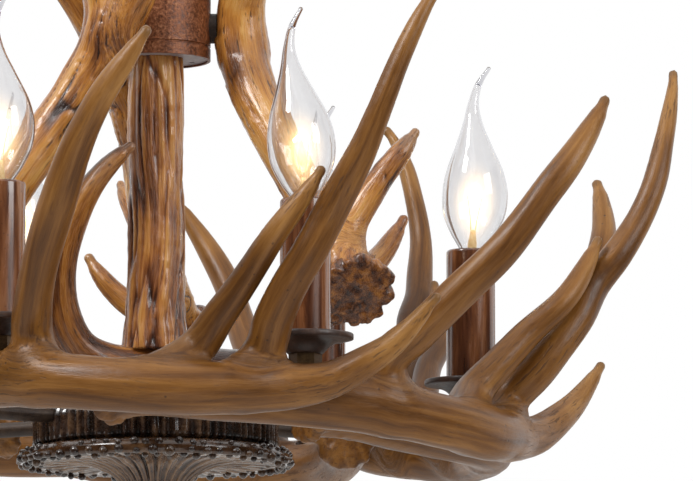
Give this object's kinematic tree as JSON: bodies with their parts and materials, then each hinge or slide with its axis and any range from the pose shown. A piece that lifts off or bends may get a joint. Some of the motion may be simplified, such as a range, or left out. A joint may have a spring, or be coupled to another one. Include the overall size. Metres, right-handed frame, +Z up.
{
  "type": "antler chandelier",
  "caption": "Chandelier of cast antlers in two tiers: a ring of curling antlers with candle lamps round a bark column, a fluted collar and a gilled medallion below.",
  "frame": {"origin": "centre of the bore of the hanging loop at the top", "axes": "+Z up, -Y towards the viewer of the picture, +X to the viewer's right; the loop's bore runs along Y"},
  "size_m": [0.5375, 0.5341, 0.399],
  "materials": {
    "antler_tan": "satin",
    "antler_amber": "gloss",
    "column_bark": "gloss",
    "dark_resin": "gloss",
    "rust_paint": "satin",
    "sleeve_wood": "gloss",
    "dish_paint": "satin",
    "clear_glass": "gloss",
    "glow": "satin",
    "brass": "satin",
    "black_plastic": "matt",
    "pale_steel": "satin",
    "dark_steel": "satin"
  },
  "bodies": {
    "frame": {"base_branch": "antler_amber", "base_hub": "dark_resin", "bobeche_1": "dish_paint", "bobeche_2": "dish_paint", "bobeche_3": "dish_paint", "bobeche_4": "dish_paint", "bobeche_5": "dish_paint", "bobeche_6": "dish_paint", "candle_nipples": "brass", "candle_nuts": "brass", "candle_sleeve_1": "sleeve_wood", "candle_sleeve_2": "sleeve_wood", "candle_sleeve_3": "sleeve_wood", "candle_sleeve_4": "sleeve_wood", "candle_sleeve_5": "sleeve_wood", "candle_sleeve_6": "sleeve_wood", "centre_tube": "dark_steel", "column": "column_bark", "finial": "dark_resin", "hang_loop": "rust_paint", "hub_bolts": "dark_steel", "hub_can": "rust_paint", "hub_plate": "pale_steel", "hub_spacers": "dark_steel", "lower_antler_1": "antler_tan", "lower_antler_2": "antler_tan", "lower_antler_3": "antler_tan", "lower_antler_4": "antler_tan", "lower_antler_5": "antler_tan", "lower_antler_6": "antler_tan", "medallion": "dark_resin", "socket_1": "black_plastic", "socket_2": "black_plastic", "socket_3": "black_plastic", "socket_4": "black_plastic", "socket_5": "black_plastic", "socket_6": "black_plastic", "spokes": "dark_steel", "tube_nuts": "dark_steel", "upper_antler_1": "antler_amber", "upper_antler_2": "antler_amber", "upper_antler_3": "antler_amber"},
    "stem_1": {"bulb_filament_1": "glow"},
    "bulb_1": {"bulb_glass_1": "clear_glass", "bulb_cap_1": "brass"},
    "stem_2": {"bulb_filament_2": "glow"},
    "bulb_2": {"bulb_glass_2": "clear_glass", "bulb_cap_2": "brass"},
    "stem_3": {"bulb_filament_3": "glow"},
    "bulb_3": {"bulb_glass_3": "clear_glass", "bulb_cap_3": "brass"},
    "stem_4": {"bulb_filament_4": "glow"},
    "bulb_4": {"bulb_glass_4": "clear_glass", "bulb_cap_4": "brass"},
    "stem_5": {"bulb_filament_5": "glow"},
    "bulb_5": {"bulb_glass_5": "clear_glass", "bulb_cap_5": "brass"},
    "stem_6": {"bulb_filament_6": "glow"},
    "bulb_6": {"bulb_glass_6": "clear_glass", "bulb_cap_6": "brass"}
  },
  "joints": [
    {"name": "bulb_lift_1", "type": "slide", "parent": "frame", "child": "stem_1", "axis": [0, 0, 1], "range_m": [0, 0.0204]},
    {"name": "bulb_turn_1", "type": "hinge", "parent": "stem_1", "child": "bulb_1", "pos_m": [-0.07934, -0.14518, -0.22048], "axis": [0, 0, 1], "range_deg": [0, 2880]},
    {"name": "bulb_lift_2", "type": "slide", "parent": "frame", "child": "stem_2", "axis": [0, 0, 1], "range_m": [0, 0.0204]},
    {"name": "bulb_turn_2", "type": "hinge", "parent": "stem_2", "child": "bulb_2", "pos_m": [0.07622, -0.14817, -0.22912], "axis": [0, 0, 1], "range_deg": [0, 2880]},
    {"name": "bulb_lift_3", "type": "slide", "parent": "frame", "child": "stem_3", "axis": [0, 0, 1], "range_m": [0, 0.0204]},
    {"name": "bulb_turn_3", "type": "hinge", "parent": "stem_3", "child": "bulb_3", "pos_m": [0.16708, -0.00888, -0.23712], "axis": [0, 0, 1], "range_deg": [0, 2880]},
    {"name": "bulb_lift_4", "type": "slide", "parent": "frame", "child": "stem_4", "axis": [0, 0, 1], "range_m": [0, 0.0204]},
    {"name": "bulb_turn_4", "type": "hinge", "parent": "stem_4", "child": "bulb_4", "pos_m": [0.09195, 0.1397, -0.23604], "axis": [0, 0, 1], "range_deg": [0, 2880]},
    {"name": "bulb_lift_5", "type": "slide", "parent": "frame", "child": "stem_5", "axis": [0, 0, 1], "range_m": [0, 0.0204]},
    {"name": "bulb_turn_5", "type": "hinge", "parent": "stem_5", "child": "bulb_5", "pos_m": [-0.07404, 0.14899, -0.22695], "axis": [0, 0, 1], "range_deg": [0, 2880]},
    {"name": "bulb_lift_6", "type": "slide", "parent": "frame", "child": "stem_6", "axis": [0, 0, 1], "range_m": [0, 0.0204]},
    {"name": "bulb_turn_6", "type": "hinge", "parent": "stem_6", "child": "bulb_6", "pos_m": [-0.1649, 0.0097, -0.21895], "axis": [0, 0, 1], "range_deg": [0, 2880]}
  ],
  "couplings": [
    {"joint": "bulb_lift_1", "follows": "bulb_turn_1", "m_per_rad": 0.00040425},
    {"joint": "bulb_lift_2", "follows": "bulb_turn_2", "m_per_rad": 0.00040425},
    {"joint": "bulb_lift_3", "follows": "bulb_turn_3", "m_per_rad": 0.00040425},
    {"joint": "bulb_lift_4", "follows": "bulb_turn_4", "m_per_rad": 0.00040425},
    {"joint": "bulb_lift_5", "follows": "bulb_turn_5", "m_per_rad": 0.00040425},
    {"joint": "bulb_lift_6", "follows": "bulb_turn_6", "m_per_rad": 0.00040425}
  ]
}
